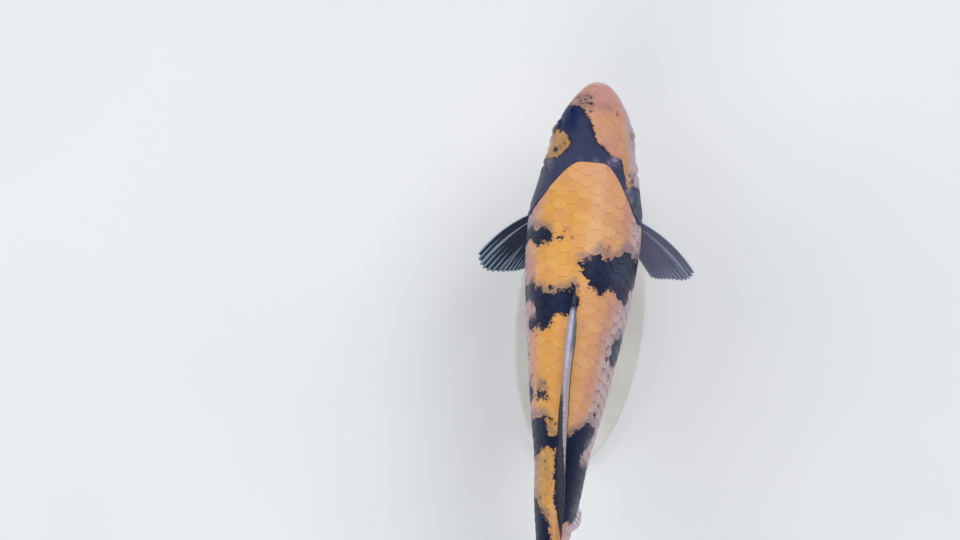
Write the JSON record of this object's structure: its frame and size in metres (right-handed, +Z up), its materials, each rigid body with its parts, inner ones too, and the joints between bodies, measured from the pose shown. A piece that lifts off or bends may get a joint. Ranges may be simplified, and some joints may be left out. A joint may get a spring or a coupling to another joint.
{
  "type": "koi carp",
  "caption": "Life-size koi carp, still, swimming straight with pectoral fins spread and dorsal fin folded back, on a flat oval base with upright rods.",
  "frame": {"origin": "centre of the underside of the stand's oval base, on the surface that it stands on", "axes": "+Z up, -Y towards the koi's snout, +X towards the koi's left side"},
  "size_m": [0.1897, 0.5529, 0.2256],
  "materials": {
    "scaled_skin": "wet glossy scales, orange with indigo-black patches",
    "head_skin": "wet glossy bare skin, indigo-black and salmon",
    "fin": "glossy dark membrane with pale rays",
    "eye": "clear wet dome over a dark iris",
    "stand_paint": "pale satin paint",
    "stand_steel": "brushed"
  },
  "bodies": {
    "root": {"head": "head_skin", "upper_lip": "head_skin", "lower_jaw": "head_skin", "gill_cover_left": "head_skin", "gill_cover_right": "head_skin", "barbel_lip_left": "head_skin", "barbel_lip_right": "head_skin", "barbel_mouth_left": "head_skin", "barbel_mouth_right": "head_skin", "eye_left": "eye", "eye_right": "eye", "trunk_front": "scaled_skin", "trunk_rear": "scaled_skin", "tail_stalk": "scaled_skin", "dorsal_fin": "fin", "pectoral_fin_left": "fin", "pectoral_fin_right": "fin", "pelvic_fin_left": "fin", "pelvic_fin_right": "fin", "anal_fin": "fin", "tail_fin_upper": "fin", "tail_fin_lower": "fin", "stand_base": "stand_paint", "stand_foot_front": "stand_steel", "stand_foot_rear": "stand_steel", "stand_rod_front": "stand_steel", "stand_rod_rear": "stand_steel"}
  },
  "joints": []
}
